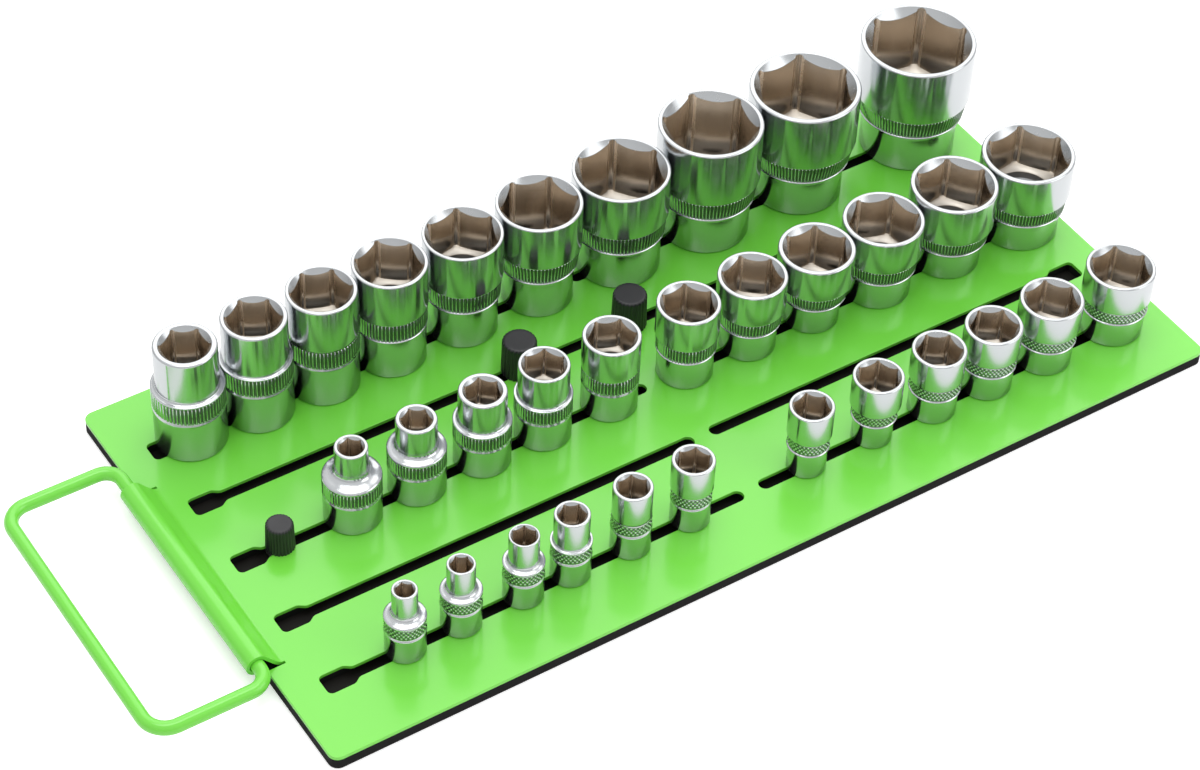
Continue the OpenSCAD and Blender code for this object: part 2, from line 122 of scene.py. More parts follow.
class SheetSettings(bpy.types.PropertyGroup):
    """Sizes of the painted steel plate and its slots"""

    thickness: FloatProperty(
        name="Thickness", description="Thickness of the sheet", default=1.2 * MM, unit="LENGTH")
    corner: FloatProperty(
        name="Corner", description="Radius of the plate's corners", default=3 * MM, unit="LENGTH")
    edge: FloatProperty(
        name="Edge", description="Rounding of the painted edges", default=0.16 * MM, unit="LENGTH")
    row_pitch: FloatProperty(
        name="Row pitch", description="Distance between rows of slots", default=25.4 * MM, unit="LENGTH")
    slot_margin: FloatProperty(
        name="Slot margin", description="From the plate's end to a slot's wide end",
        default=10.3 * MM, unit="LENGTH")
    slot_width: FloatProperty(
        name="Slot width", description="Width of a slot", default=4.1 * MM, unit="LENGTH")
    key_width: FloatProperty(
        name="Wide end's width", description="Width of a slot's wide end", default=7.1 * MM, unit="LENGTH")
    key_length: FloatProperty(
        name="Wide end's length", description="Length of a slot's wide end", default=7.6 * MM, unit="LENGTH")
    key_corner: FloatProperty(
        name="Wide end's corners", description="Corner radius of a slot's wide end",
        default=1.6 * MM, unit="LENGTH")
    taper: FloatProperty(
        name="Taper", description="Length over which a slot narrows", default=2.9 * MM, unit="LENGTH")
    bridge: FloatProperty(
        name="Bridge", description="Steel left between a row's two slots", default=5.8 * MM, unit="LENGTH")
    sleeve: FloatProperty(
        name="Sleeve", description="Length of the sleeve rolled round the wire",
        default=75 * MM, unit="LENGTH")
    sleeve_root: FloatProperty(
        name="Sleeve's root", description="Where the sleeve starts to rise", default=5.6 * MM, unit="LENGTH")
    root_bend: FloatProperty(
        name="Root bend", description="Bend radius where the sleeve rises", default=3.2 * MM, unit="LENGTH")
    slit: FloatProperty(name="Slit", description="Slit beside the sleeve", default=0.8 * MM, unit="LENGTH")


class WireSettings(bpy.types.PropertyGroup):
    """Sizes of the handle's wire"""

    diameter: FloatProperty(
        name="Wire", description="Diameter of the wire", default=4.2 * MM, unit="LENGTH")
    clearance: FloatProperty(
        name="Clearance", description="Between the wire and its sleeve", default=0.1 * MM, unit="LENGTH")
    width: FloatProperty(
        name="Width", description="Between the two arms", default=92.9 * MM, unit="LENGTH")
    reach: FloatProperty(
        name="Reach", description="From the hinge to the grip", default=34.65 * MM, unit="LENGTH")
    hinge_bend: FloatProperty(
        name="Hinge bends", description="Bend radius beside the sleeve", default=5.5 * MM, unit="LENGTH")
    grip_bend: FloatProperty(
        name="Grip bends", description="Bend radius at the grip", default=7 * MM, unit="LENGTH")


class SocketSettings(bpy.types.PropertyGroup):
    """Details that all the sockets share"""

    rim: FloatProperty(
        name="Rim", description="Share of the wall that the rounding outside the mouth takes",
        subtype="FACTOR", default=0.35, min=0.1, max=0.6)
    lead: FloatProperty(
        name="Lead-in", description="Share of the wall beside a corner that the lead-in takes",
        subtype="FACTOR", default=0.15, min=0.05, max=0.5)
    relief: FloatProperty(
        name="Corner relief", description="Depth of the groove in each corner, as a share of the hexagon",
        subtype="FACTOR", default=0.0042, min=0.0, max=0.02)
    hole: FloatProperty(
        name="Floor hole",
        description="Radius of the hole in the hexagon's floor, as a share of the way to a corner",
        subtype="FACTOR", default=0.7, min=0.4, max=0.8)
    floor_slope: FloatProperty(
        name="Floor", description="Slope of the cone at the bottom of the hexagon",
        subtype="FACTOR", default=0.25, min=0.0, max=1.0)


class PostSettings(bpy.types.PropertyGroup):
    """Details of the bare ribbed posts"""

    ribs: IntProperty(name="Ribs", description="Ribs round a post", default=26, min=12, max=40)
    rib_depth: FloatProperty(
        name="Rib depth", description="Depth between two ribs", default=0.3 * MM, unit="LENGTH")
    taper: FloatProperty(
        name="Taper", description="How far the top is drawn in", default=0.25 * MM, unit="LENGTH")


class ColourSettings(bpy.types.PropertyGroup):
    """Colours of the tray's finishes"""

    paint: FloatVectorProperty(
        name="Paint", description="Powder coat of the plate and handle", subtype="COLOR", size=3,
        min=0.0, max=1.0, default=(0.165, 0.645, 0.055))
    chrome: FloatVectorProperty(
        name="Chrome", description="Outside of the sockets", subtype="COLOR", size=3,
        min=0.0, max=1.0, default=(0.58, 0.6, 0.615))
    bore: FloatVectorProperty(
        name="Bore", description="Inside of the sockets", subtype="COLOR", size=3,
        min=0.0, max=1.0, default=(0.53, 0.475, 0.41))
    bore_floor: FloatVectorProperty(
        name="Bore floor", description="Floor of the hexagons", subtype="COLOR", size=3,
        min=0.0, max=1.0, default=(0.46, 0.43, 0.385))
    plastic: FloatVectorProperty(
        name="Plastic", description="Ribbed posts", subtype="COLOR", size=3,
        min=0.0, max=1.0, default=(0.016, 0.016, 0.018))
    pad: FloatVectorProperty(
        name="Pad", description="Pad under the plate", subtype="COLOR", size=3,
        min=0.0, max=1.0, default=(0.008, 0.008, 0.008))
    magnet: FloatVectorProperty(
        name="Magnetic sheet", description="Sheet under the pad", subtype="COLOR", size=3,
        min=0.0, max=1.0, default=(0.008, 0.007, 0.006))
    zinc: FloatVectorProperty(
        name="Feet", description="Feet under the posts", subtype="COLOR", size=3,
        min=0.0, max=1.0, default=(0.7, 0.7, 0.72))
    floor: FloatVectorProperty(
        name="Floor", description="Studio floor", subtype="COLOR", size=3,
        min=0.0, max=1.0, default=(0.93, 0.93, 0.93))


class StageSettings(bpy.types.PropertyGroup):
    """Camera and light"""

    lens: FloatProperty(name="Lens", description="Focal length", default=95.2, unit="CAMERA")
    azimuth: FloatProperty(
        name="Azimuth", description="Camera's turn round the tray",
        default=math.radians(-34.712), subtype="ANGLE")
    elevation: FloatProperty(
        name="Elevation", description="Camera's height angle",
        default=math.radians(44.943), subtype="ANGLE")
    roll: FloatProperty(
        name="Roll", description="Camera's roll", default=math.radians(2.676), subtype="ANGLE")
    place: FloatVectorProperty(
        name="Place", description="Where the camera stands", subtype="TRANSLATION", size=3,
        default=(-0.37408, -0.5403, 0.6695))
    sky: FloatProperty(name="Sky", description="Brightness of the white surroundings", default=0.9, min=0.0)
    horizon: FloatProperty(
        name="Horizon", description="Brightness of the surroundings at the horizon", default=0.5, min=0.0)
    back_box: FloatProperty(
        name="Back box", description="Brightness of the box behind", default=1.15, min=0.0)
    top_box: FloatProperty(
        name="Top box", description="Brightness of the box above", default=3.0, min=0.0)
    side_box: FloatProperty(
        name="Side box", description="Brightness of the box at the side", default=1.6, min=0.0)
    floor_glow: FloatProperty(
        name="Floor glow", description="Light that the floor shows the camera, which thins the shadows",
        default=0.4, min=0.0)


# Finishes

def surface_variation():
    """Node group: a soft cloudy mask and a fine grainy one, at sizes in metres"""
    name = "surface_variation"
    if name in bpy.data.node_groups:
        return bpy.data.node_groups[name]
    group = bpy.data.node_groups.new(name, "ShaderNodeTree")
    for label, value in (("Cloud size", 0.02), ("Grain size", 0.0006), ("Stretch", 1.0)):
        socket = group.interface.new_socket(label, in_out="INPUT", socket_type="NodeSocketFloat")
        socket.default_value = value
    group.interface.new_socket("Cloud", in_out="OUTPUT", socket_type="NodeSocketFloat")
    group.interface.new_socket("Grain", in_out="OUTPUT", socket_type="NodeSocketFloat")
    inputs = group.nodes.new("NodeGroupInput")
    outputs = group.nodes.new("NodeGroupOutput")
    place = group.nodes.new("ShaderNodeTexCoord")
    stretch = group.nodes.new("ShaderNodeCombineXYZ")
    stretch.inputs["X"].default_value = 1
    stretch.inputs["Y"].default_value = 1
    group.links.new(inputs.outputs["Stretch"], stretch.inputs["Z"])
    stretched = group.nodes.new("ShaderNodeVectorMath")
    stretched.operation = "MULTIPLY"
    group.links.new(place.outputs["Object"], stretched.inputs[0])
    group.links.new(stretch.outputs[0], stretched.inputs[1])
    for label, detail in (("Cloud", 3), ("Grain", 2)):
        per_metre = group.nodes.new("ShaderNodeMath")
        per_metre.operation = "DIVIDE"
        per_metre.inputs[0].default_value = 1
        group.links.new(inputs.outputs[label + " size"], per_metre.inputs[1])
        noise = group.nodes.new("ShaderNodeTexNoise")
        noise.inputs["Detail"].default_value = detail
        group.links.new(stretched.outputs[0], noise.inputs["Vector"])
        group.links.new(per_metre.outputs[0], noise.inputs["Scale"])
        group.links.new(noise.outputs["Fac"], outputs.inputs[label])
    return group


QUARTER_TURN = 0.25
SMOOTHEST = 0.02
# The cloud noise keeps mostly between these two values
CLOUD_LOW, CLOUD_HIGH = 0.3, 0.7


def finish(name, colour, metallic, roughness, spread, tint, cloud, bright=1.0, grain=0.0006, stretch=1.0,
           bump=0.0, coat=0.0, coat_roughness=0.1, turned=0.0, specular=0.5):
    """A material whose roughness and colour vary over the surface, by spread and tint, in clouds.
    Clouds, grain and bump are sized in metres. Stretch lengthens the clouds upright, and a turned
    finish smears its reflections along the lathe's axis."""
    shade_of = [c * bright for c in getattr(bpy.context.scene.tray_colours, colour)]
    made = bpy.data.materials.new(name)
    made.use_nodes = True
    nodes, links = made.node_tree.nodes, made.node_tree.links
    shader = nodes["Principled BSDF"]
    shader.inputs["Metallic"].default_value = metallic
    shader.inputs["Specular IOR Level"].default_value = specular
    shader.inputs["Anisotropic"].default_value = turned
    if turned:
        shader.inputs["Anisotropic Rotation"].default_value = QUARTER_TURN
        around = nodes.new("ShaderNodeTangent")
        around.direction_type = "RADIAL"
        around.axis = "Z"
        links.new(around.outputs[0], shader.inputs["Tangent"])
    shader.inputs["Coat Weight"].default_value = coat
    shader.inputs["Coat Roughness"].default_value = coat_roughness
    variation = nodes.new("ShaderNodeGroup")
    variation.node_tree = surface_variation()
    variation.inputs["Cloud size"].default_value = cloud
    variation.inputs["Grain size"].default_value = grain
    variation.inputs["Stretch"].default_value = stretch
    shade = nodes.new("ShaderNodeMix")
    shade.data_type = "RGBA"
    shade.inputs[COLOUR_A].default_value = [c * (1 - tint) for c in shade_of] + [1]
    shade.inputs[COLOUR_B].default_value = [min(1, c * (1 + tint)) for c in shade_of] + [1]
    links.new(variation.outputs["Cloud"], shade.inputs["Factor"])
    links.new(shade.outputs[COLOUR_OUT], shader.inputs["Base Color"])
    rough = nodes.new("ShaderNodeMapRange")
    rough.inputs["From Min"].default_value = CLOUD_LOW
    rough.inputs["From Max"].default_value = CLOUD_HIGH
    rough.inputs["To Min"].default_value = max(SMOOTHEST, roughness - spread)
    rough.inputs["To Max"].default_value = roughness + spread
    links.new(variation.outputs["Cloud"], rough.inputs["Value"])
    links.new(rough.outputs[0], shader.inputs["Roughness"])
    if bump:
        relief = nodes.new("ShaderNodeBump")
        relief.inputs["Strength"].default_value = 1
        relief.inputs["Distance"].default_value = bump
        links.new(variation.outputs["Grain"], relief.inputs["Height"])
        links.new(relief.outputs[0], shader.inputs["Normal"])


# Each finish: which colour setting it takes and how bright that is here, then finish's own words
FINISHES = {
    "powder_coat": dict(
        colour="paint", metallic=0, roughness=0.22, spread=0.05, tint=0.03, cloud=0.03, grain=0.0014,
        bump=0.000012, coat=0.35, coat_roughness=0.12),
    "satin_chrome": dict(
        colour="chrome", metallic=1, roughness=0.18, spread=0.02, tint=0.03, cloud=0.008, turned=0.78),
    # Darker chrome: painted shade in the knurl's valleys and the floor's hole
    "knurl_valley": dict(
        colour="chrome", bright=0.35, metallic=1, roughness=0.4, spread=0.05, tint=0.1, cloud=0.002),
    "bright_mouth": dict(
        colour="chrome", bright=0.92, metallic=1, roughness=0.24, spread=0.05, tint=0.03, cloud=0.003),
    "broached_bore": dict(
        colour="bore", metallic=1, roughness=0.16, spread=0.03, tint=0.1, cloud=0.006, stretch=0.15),
    # A paler bore: painted highlight along one side of each corner's groove
    "bore_streak": dict(
        colour="bore", bright=1.7, metallic=1, roughness=0.3, spread=0.05, tint=0.05, cloud=0.003),
    "bore_floor": dict(
        colour="bore_floor", metallic=1, roughness=0.4, spread=0.05, tint=0.05, cloud=0.003),
    "black_post": dict(
        colour="plastic", metallic=0, roughness=0.42, spread=0.06, tint=0.2, cloud=0.004, grain=0.0004,
        bump=0.000012),
    "black_foam": dict(
        colour="pad", metallic=0, roughness=0.75, spread=0.08, tint=0.3, cloud=0.006, grain=0.0008,
        bump=0.00003, specular=0.15),
    "magnet_face": dict(
        colour="magnet", metallic=0, roughness=0.6, spread=0.08, tint=0.2, cloud=0.006, grain=0.0008,
        bump=0.00001, specular=0.15),
    "zinc_foot": dict(
        colour="zinc", metallic=1, roughness=0.35, spread=0.08, tint=0.08, cloud=0.003, grain=0.0005,
        bump=0.000004),
    "floor_white": dict(
        colour="floor", metallic=0, roughness=0.6, spread=0.02, tint=0.004, cloud=0.4, grain=0.01),
}


def finishes():
    """The tray's materials, made once"""
    if "powder_coat" not in bpy.data.materials:
        for name, look in FINISHES.items():
            finish(name, **look)
    return bpy.data.materials


def dress(node, material):
    """Gives a carried-over node its finish"""
    shown = frame["nodes"][node]
    shown.data.materials.clear()
    shown.data.materials.append(finishes()[material])


def make_piece(name, mesh, body, materials, *nodes, slot=None, sharp=30):
    """Adds a mesh that rides on a body and stands for the nodes named"""
    piece = bpy.data.objects.new(name, mesh)
    bpy.context.scene.collection.objects.link(piece)
    for material in materials:
        mesh.materials.append(finishes()[material])
    mesh.shade_smooth()
    mesh.set_sharp_from_angle(angle=math.radians(sharp))
    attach(piece, body)
    if nodes:
        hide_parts(*nodes)
    return piece


def arc(centre, radius, start, end, steps):
    """Points on an arc, angles in degrees"""
    return [(centre[0] + radius * math.cos(math.radians(start + (end - start) * i / steps)),
             centre[1] + radius * math.sin(math.radians(start + (end - start) * i / steps)))
            for i in range(steps + 1)]


# The plate

def plate_outline(sheet):
    """Outline of the flat steel, with the notch that the sleeve rises from, anticlockwise"""
    r = sheet.corner
    half, slit = sheet.sleeve / 2, sheet.slit
    root = LEFT + sheet.sleeve_root
    outline = arc((LEFT + r, FRONT + r), r, 180, 270, 8) + arc((RIGHT - r, FRONT + r), r, 270, 360, 8)
    outline += arc((RIGHT - r, BACK - r), r, 0, 90, 8) + arc((LEFT + r, BACK - r), r, 90, 180, 8)
    outline += [(LEFT, half + slit), (root, half + slit), (root, half)]
    outline += [(root, -half), (root, -half - slit), (LEFT, -half - slit)]
    return outline


def slot_outline(sheet, y, mirrored):
    """Outline of one slot"""
    near, wide, narrow = sheet.slot_margin, sheet.key_width / 2, sheet.slot_width / 2
    r = sheet.key_corner
    key_end = near + sheet.key_length
    far = (RIGHT - LEFT - sheet.bridge) / 2
    points = arc((near + r, wide - r), r, 90, 180, 6) + arc((near + r, r - wide), r, 180, 270, 6)
    points += [(key_end, -wide)]
    eased = [(t, t * t * (3 - 2 * t)) for t in (0.25, 0.5, 0.75)]
    points += [(key_end + sheet.taper * t, -wide + (wide - narrow) * e) for t, e in eased]
    points += [(key_end + sheet.taper, -narrow)]
    points += arc((far - narrow, 0), narrow, -90, 90, 12)
    points += [(key_end + sheet.taper, narrow)]
    points += [(key_end + sheet.taper * t, wide - (wide - narrow) * e) for t, e in reversed(eased)]
    points += [(key_end, wide)]
    if mirrored:
        return [(RIGHT - x, y + v) for x, v in reversed(points)]
    return [(LEFT + x, y + v) for x, v in points]


# Angle round the wire, in degrees, where the rolled sleeve ends
SLEEVE_END = 300
# Points closer than this are one point, in metres, and the finer limit for points made as one
WELD, WELD_FINE = 1e-6, 1e-7
# Faces that meet at less than this are one face, in radians
FLAT = 0.001
# Output of the triangulation that keeps every outline as an edge
KEEP_OUTLINES = 2


def sleeve_path(sheet, wire):
    """Middle line of the sleeve's sheet in X and Z, from its root round the wire"""
    t = sheet.thickness
    roll = wire.diameter / 2 + wire.clearance + t / 2
    hinge = frame_hinge()
    root = LEFT + sheet.sleeve_root
    run = root - hinge.x
    drop = sheet.root_bend - (hinge.z - TOP) - t / 2
    rise = math.asin((roll + sheet.root_bend) / math.hypot(run, drop)) - math.atan2(drop, run)
    rise = math.degrees(rise)
    path = arc((root, TOP - t / 2 + sheet.root_bend), sheet.root_bend, 270, 270 - rise, 8)
    path += arc((hinge.x, hinge.z), roll, 90 - rise, SLEEVE_END, 30)
    return path


def frame_hinge():
    """Point on the handle's hinge"""
    for joint in frame["record"]["behaviour"]["joints"]:
        if joint["name"] == "handle_swing":
            return Vector(joint["pos_m"])
    raise RuntimeError("The record has no handle_swing joint")


def plate_mesh(sheet, wire):
    """The whole steel sheet as one thin skin at the middle of its thickness; the plate operator thickens it
    and rounds its edges
    """
    outline = plate_outline(sheet)
    loops = [outline]
    for row in range(-2, 3):
        for mirrored in (False, True):
            loops.append(slot_outline(sheet, row * sheet.row_pitch, mirrored))
    points, faces = [], []
    for loop in loops:
        first = len(points)
        points += [Vector(p) for p in loop]
        faces.append(list(range(first, len(points))))
    flat, _, made, *_ = delaunay_2d_cdt(points, [], faces, KEEP_OUTLINES, WELD_FINE)

    def in_slot(x, y):
        for hole in loops[1:]:
            inside = False
            for (x0, y0), (x1, y1) in zip(hole, hole[1:] + hole[:1]):
                if (y0 > y) != (y1 > y) and x < x0 + (y - y0) * (x1 - x0) / (y1 - y0):
                    inside = not inside
            if inside:
                return True
        return False

    build = bmesh.new()
    middle = TOP - sheet.thickness / 2
    verts = [build.verts.new((p.x, p.y, middle)) for p in flat]
    # The triangles inside a slot are left out
    for face in made:
        x = sum(flat[i].x for i in face) / len(face)
        y = sum(flat[i].y for i in face) / len(face)
        if not in_slot(x, y):
            build.faces.new([verts[i] for i in face])
    path = sleeve_path(sheet, wire)
    half = sheet.sleeve / 2
    rows = [[build.verts.new((x, side * half, z)) for side in (-1, 1)] for x, z in path]
    for a, b in zip(rows, rows[1:]):
        build.faces.new((a[0], a[1], b[1], b[0]))
    bmesh.ops.remove_doubles(build, verts=build.verts, dist=WELD)
    bmesh.ops.dissolve_limit(build, angle_limit=FLAT, verts=build.verts, edges=build.edges)
    bmesh.ops.recalc_face_normals(build, faces=build.faces)
    if sum(f.normal.z * f.calc_area() for f in build.faces) < 0:
        bmesh.ops.reverse_faces(build, faces=build.faces)
    mesh = bpy.data.meshes.new("plate_sheet")
    build.to_mesh(mesh)
    build.free()
    return mesh


def bake_modifiers(piece):
    """Applies the modifiers to the piece's mesh"""
    mesh = bpy.data.meshes.new_from_object(piece.evaluated_get(bpy.context.evaluated_depsgraph_get()))
    piece.modifiers.clear()
    piece.data = mesh


class TRAY_OT_plate(bpy.types.Operator):
    """Builds the painted plate with its slots and rolled sleeve"""

    bl_idname = "tray.plate"
    bl_label = "Plate"

    def execute(self, context):
        sheet, wire = context.scene.tray_sheet, context.scene.tray_wire
        mesh = plate_mesh(sheet, wire)
        plate = make_piece("painted_plate", mesh, TRAY, ["powder_coat"], "plate", slot="green_paint")
        thick = plate.modifiers.new("thickness", "SOLIDIFY")
        thick.thickness = sheet.thickness
        thick.offset = 0
        thick.use_even_offset = True
        soften = plate.modifiers.new("edges", "BEVEL")
        soften.width = sheet.edge
        soften.segments = 3
        soften.limit_method = "ANGLE"
        soften.angle_limit = math.radians(50)
        soften.harden_normals = True
        bake_modifiers(plate)
        dress("pad", "black_foam")
        dress("magnetic_sheet", "magnet_face")
        return {"FINISHED"}


# The handle

# Keeps the drawn wire inside the CAD's own
WIRE_INSET = 0.01 * MM


class TRAY_OT_handle(bpy.types.Operator):
    """Builds the wire handle as one bent, painted wire"""

    bl_idname = "tray.handle"
    bl_label = "Handle"

    def execute(self, context):
        wire = context.scene.tray_wire
        hinge = frame_hinge()
        half, a, b = wire.width / 2, wire.hinge_bend, wire.grip_bend
        x, far = hinge.x, hinge.x - wire.reach
        path = [(x, y * (half - a)) for y in (-1, -0.5, 0, 0.5)]
        path += arc((x - a, half - a), a, 0, 90, 10)
        path += arc((far + b, half - b), b, 90, 180, 12)
        path += [(far, 0)]
        path += arc((far + b, b - half), b, 180, 270, 12)
        path += arc((x - a, a - half), a, 270, 350, 9)
        curve = bpy.data.curves.new("handle_wire", "CURVE")
        curve.dimensions = "3D"
        curve.bevel_depth = wire.diameter / 2 - WIRE_INSET
        curve.bevel_resolution = 10
        spline = curve.splines.new("POLY")
        spline.points.add(len(path) - 1)
        for point, (px, py) in zip(spline.points, path):
            point.co = (px, py + hinge.y, hinge.z, 1)
        spline.use_cyclic_u = True
        drawn = bpy.data.objects.new("handle_curve", curve)
        context.scene.collection.objects.link(drawn)
        mesh = bpy.data.meshes.new_from_object(drawn.evaluated_get(context.evaluated_depsgraph_get()))
        bpy.data.objects.remove(drawn)
        bpy.data.curves.remove(curve)
        mesh.materials.clear()
        make_piece("wire_handle", mesh, "handle_body", ["powder_coat"], "handle",
                   slot="green_paint", sharp=60)
        return {"FINISHED"}


# The posts

# Rings of a post, in millimetres: at its foot, how far in and how high; at its top, how far in
# beyond the taper and how far down. The last number is the share of the ribs' depth.
POST_FOOT = ((0.02, 0.0, 1), (0.0, 0.25, 1))
POST_TOP = ((0.0, 0.9, 1), (0.12, 0.45, 0.8), (0.45, 0.12, 0.3), (0.85, 0.0, 0.0), (1.4, 0.06, 0.0))
POINTS_PER_RIB = 8
# Over 1 makes the valleys between the ribs narrower than the ribs
RIB_POWER = 1.6


def post_mesh(name, centre, radius, height, post):
    """A ribbed post, drawn in a little at the top, with a softened edge and a shallow dished top"""
    around = post.ribs * POINTS_PER_RIB
    profile = list(POST_FOOT)
    profile += [(post.taper / MM + inset, height / MM - down, ribbed) for inset, down, ribbed in POST_TOP]
    build = bmesh.new()
    rings = []
    for inset, z, ribbed in profile:
        ring = []
        for i in range(around):
            a = 2 * math.pi * i / around
            wave = 0.5 - 0.5 * math.cos(post.ribs * a)
            r = radius - inset * MM - post.rib_depth * ribbed * wave ** RIB_POWER
            ring.append(build.verts.new((centre.x + r * math.cos(a), centre.y + r * math.sin(a),
                                         centre.z + z * MM)))
        rings.append(ring)
    join_rings(build, rings)
    build.faces.new(rings[-1])
    build.faces.new(list(reversed(rings[0])))
    mesh = bpy.data.meshes.new(name)
    build.to_mesh(mesh)
    build.free()
    return mesh


def join_rings(build, rings, materials=None):
    """Quads between neighbouring rings"""
    for n, (low, high) in enumerate(zip(rings, rings[1:])):
        for i in range(len(low)):
            j = (i + 1) % len(low)
            face = build.faces.new((low[i], low[j], high[j], high[i]))
            if materials:
                face.material_index = materials[n]


class TRAY_OT_posts(bpy.types.Operator):
    """Builds the bare ribbed posts and finishes the posts and feet that stay as they are"""

    bl_idname = "tray.posts"
    bl_label = "Posts"

    def execute(self, context):
        post = context.scene.tray_post
        for node, body in (("bare_half_post_1", "bare_half_1"), ("bare_half_post_2", "bare_half_2"),
                           ("bare_three_eighth_post", "bare_three_eighth")):
            low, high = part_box(node)
            low, high = Vector(low), Vector(high)
            centre = Vector(((low.x + high.x) / 2, (low.y + high.y) / 2, low.z))
            mesh = post_mesh(node, centre, (high.x - low.x) / 2, high.z - low.z, post)
            make_piece("ribbed_" + node, mesh, body, ["black_post"], node, slot="black_plastic", sharp=50)
        for node in ("half_posts", "three_eighth_posts", "quarter_posts"):
            dress(node, "black_post")
        for node in ("half_feet", "three_eighth_feet", "quarter_feet",
                     "bare_half_foot_1", "bare_half_foot_2", "bare_three_eighth_foot"):
            dress(node, "zinc_foot")
        return {"FINISHED"}


# The sockets. Their numbers are in millimetres and degrees.

# Finishes of a socket, and their numbers in its mesh. The darker chrome is painted shade in the knurl's
# valleys and the floor's hole, and the paler bore is a painted highlight beside each corner's groove
SOCKET_FINISHES = [
    "satin_chrome", "bright_mouth", "broached_bore", "bore_floor", "knurl_valley", "bore_streak",
]
SIDE, MOUTH, BORE, FLOOR, PAINTED_SHADE, PAINTED_HIGHLIGHT = range(len(SOCKET_FINISHES))

# Half the angle that the groove in a hexagon's corner takes, and where the painted highlight along one side
# of it lies
GROOVE = 5.4
HIGHLIGHT_ANGLES = (-6.2, -3.6)
# Points of a socket's rings, from a corner of its hexagon to the middle of a flat
CORNER_STEPS = (0, 1.4, 2.6, 3.6, 4.6, GROOVE, 6.2, 9, 14, 20, 25, 30)

# Profile of the outside, as pairs: how far in from the radius beside it, and how far up from
# the bottom, from the band's foot or from the band's top
SKIN = 0.12
FOOT = ((0.75, 0.0), (0.3 + SKIN, 0.1), (SKIN, 0.5))
STRAIGHT_COLLAR = ((SKIN, -1.35), (0.02, -1.1), (0, -0.8), (0.06, -0.45), (0.35, -0.15), (0.35, 0))
FLARED_COLLAR = ((SKIN, -0.45), (0, -0.3), (SKIN, -0.1), (0.4, 0))
SHOULDER_START = ((0.4, 0), (0.3, 0.05), (0.04, SKIN))
PLAIN_START = ((0.4, 0), (0.4, 0.1))
PLAIN_END = ((SKIN, 0.3), (0.02, 0.45), (0, 0.7))
# A drive end that differs less than this from the body is turned without a neck or shoulder
PLAIN_STEP = 0.4
NECK_MOST, NECK_SHARE = 2.2, 0.8
SHOULDER_SHARE = 0.75
# How far the band of a plain socket stands in from the body
BAND_INSET = 0.35

# The knurl: depth and share of a flute, depth, slant and roundness of crossed teeth
FLUTE_DEPTH, FLUTE_START = 0.45, 0.49
TOOTH_DEPTH, TOOTH_SLANT, TOOTH_POWER = 0.34, 0.8, 1.2
POINTS_PER_TOOTH = 4
FEWEST_TEETH = 18
BAND_CHAMFER = 0.3
BAND_SKIN = 0.04
# Rows of points up the toothed part, and the depth from which a face takes the darker chrome, a painted shade
# in the knurl's valleys
CROSSED_ROWS, CROSSED_SHADE_DEPTH = 17, 0.2
UPRIGHT_ROWS, UPRIGHT_SHADE_DEPTH = 2, 0.3

# The mouth: flat land and rounding round it, rounding of the lead-in's ends, drop below it, and
# what the hexagon's corners leave of it
MOUTH_LAND, MOUTH_EDGE = 0.15, 0.04
EASE, LEAD_DROP = 0.12, 0.08
CORNER_GAP = 0.06
# The floor's edge, as pairs: how far in from the wall and how far up from the floor
FLOOR_EDGE = ((0, 0.25), (0.08, 0.06), (0.3, 0))
# The floor's hole: its rounding above and below, wall left beside it, its least and most depth
HOLE_EDGE, HOLE_FILLET = 0.15, 0.2
HOLE_WALL = 0.5
HOLE_LEAST, HOLE_MOST = 0.4, 2.5
# The drive hole: metal left above it, most and least, lip round the passage, gap to the square,
# its chamfer, the cone of its roof, and how far its corners are rounded, as a share of its half
ROOF_MOST, ROOF_LEAST = 1, 0.45
PASSAGE_LIP = 0.15
DRIVE_GAP, DRIVE_CHAMFER, DRIVE_CONE = 0.1, 0.25, 0.05
DRIVE_ROUNDING = 1.36


def socket_angles(turn):
    """Angles round a socket that are closer together near the corners of its hexagon"""
    angles = []
    for k in range(6):
        corner = turn + 60 * k
        angles += [corner + a for a in CORNER_STEPS]
        angles += [corner + 60 - a for a in reversed(CORNER_STEPS[1:-1])]
    return angles


def from_corner(angle, turn):
    """Angle from the nearest corner of the hexagon"""
    return (angle - turn + 30) % 60 - 30


def hexagon_radius(angle, turn, width, relief):
    """Distance from the axis to the broached wall, with a rounded groove in each corner"""
    off = abs(from_corner(angle, turn))
    if off >= GROOVE:
        return width / 2 / math.cos(math.radians(30 - off))
    edge = width / 2 / math.cos(math.radians(30 - GROOVE))
    deepest = width / 2 / math.cos(math.radians(30)) + relief * width
    return edge + (deepest - edge) * math.sqrt(max(0.0, 1 - (off / GROOVE) ** 2))


def bezier(a, b, c, d, steps):
    """Points on a curve in (radius, height)"""
    points = []
    for i in range(steps + 1):
        t = i / steps
        points.append(tuple((1 - t) ** 3 * p + 3 * t * (1 - t) ** 2 * q + 3 * t * t * (1 - t) * r + t ** 3 * s
                            for p, q, r, s in zip(a, b, c, d)))
    return points


